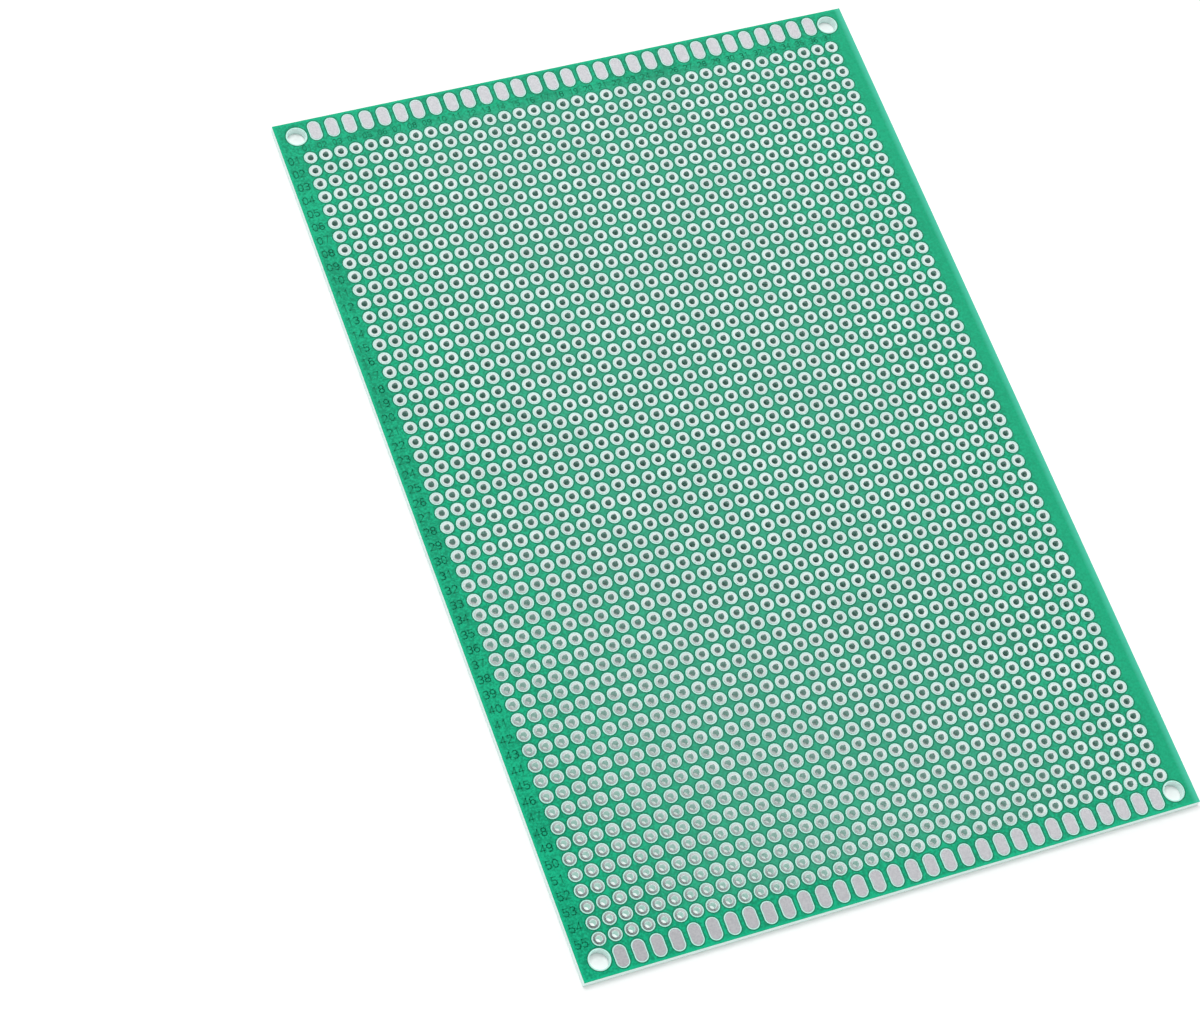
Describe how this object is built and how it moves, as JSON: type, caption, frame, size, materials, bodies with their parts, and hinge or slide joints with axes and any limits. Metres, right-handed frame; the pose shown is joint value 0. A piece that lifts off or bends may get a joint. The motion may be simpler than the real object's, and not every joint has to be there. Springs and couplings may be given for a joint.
{
  "type": "prototype board",
  "caption": "Rectangular green glass-epoxy prototype board with a full grid of tinned plated through holes, rows of oval pads along the short ends and corner screw holes.",
  "frame": {"origin": "centre of the board's outline, on the plane that the rear pads rest on", "axes": "+X across the board's width, +Y along its length towards row 1, +Z out of the numbered front face"},
  "size_m": [0.1, 0.15, 0.0016],
  "materials": {
    "green_masked_glass_epoxy": "satin green solder mask over pale glass-epoxy",
    "bright_tin": "bright tin over copper",
    "matt_tin": "matt tin over copper"
  },
  "bodies": {
    "root": {"sheet": "green_masked_glass_epoxy", "plated_holes_block_01": "bright_tin", "plated_holes_block_02": "bright_tin", "plated_holes_block_03": "bright_tin", "plated_holes_block_04": "bright_tin", "plated_holes_block_05": "bright_tin", "plated_holes_block_06": "bright_tin", "plated_holes_block_07": "bright_tin", "plated_holes_block_08": "bright_tin", "plated_holes_block_09": "bright_tin", "plated_holes_block_10": "bright_tin", "plated_holes_block_11": "bright_tin", "front_edge_pads_first_end": "matt_tin", "front_edge_pads_last_end": "matt_tin", "rear_edge_pads_first_end": "matt_tin", "rear_edge_pads_last_end": "matt_tin"}
  },
  "joints": []
}
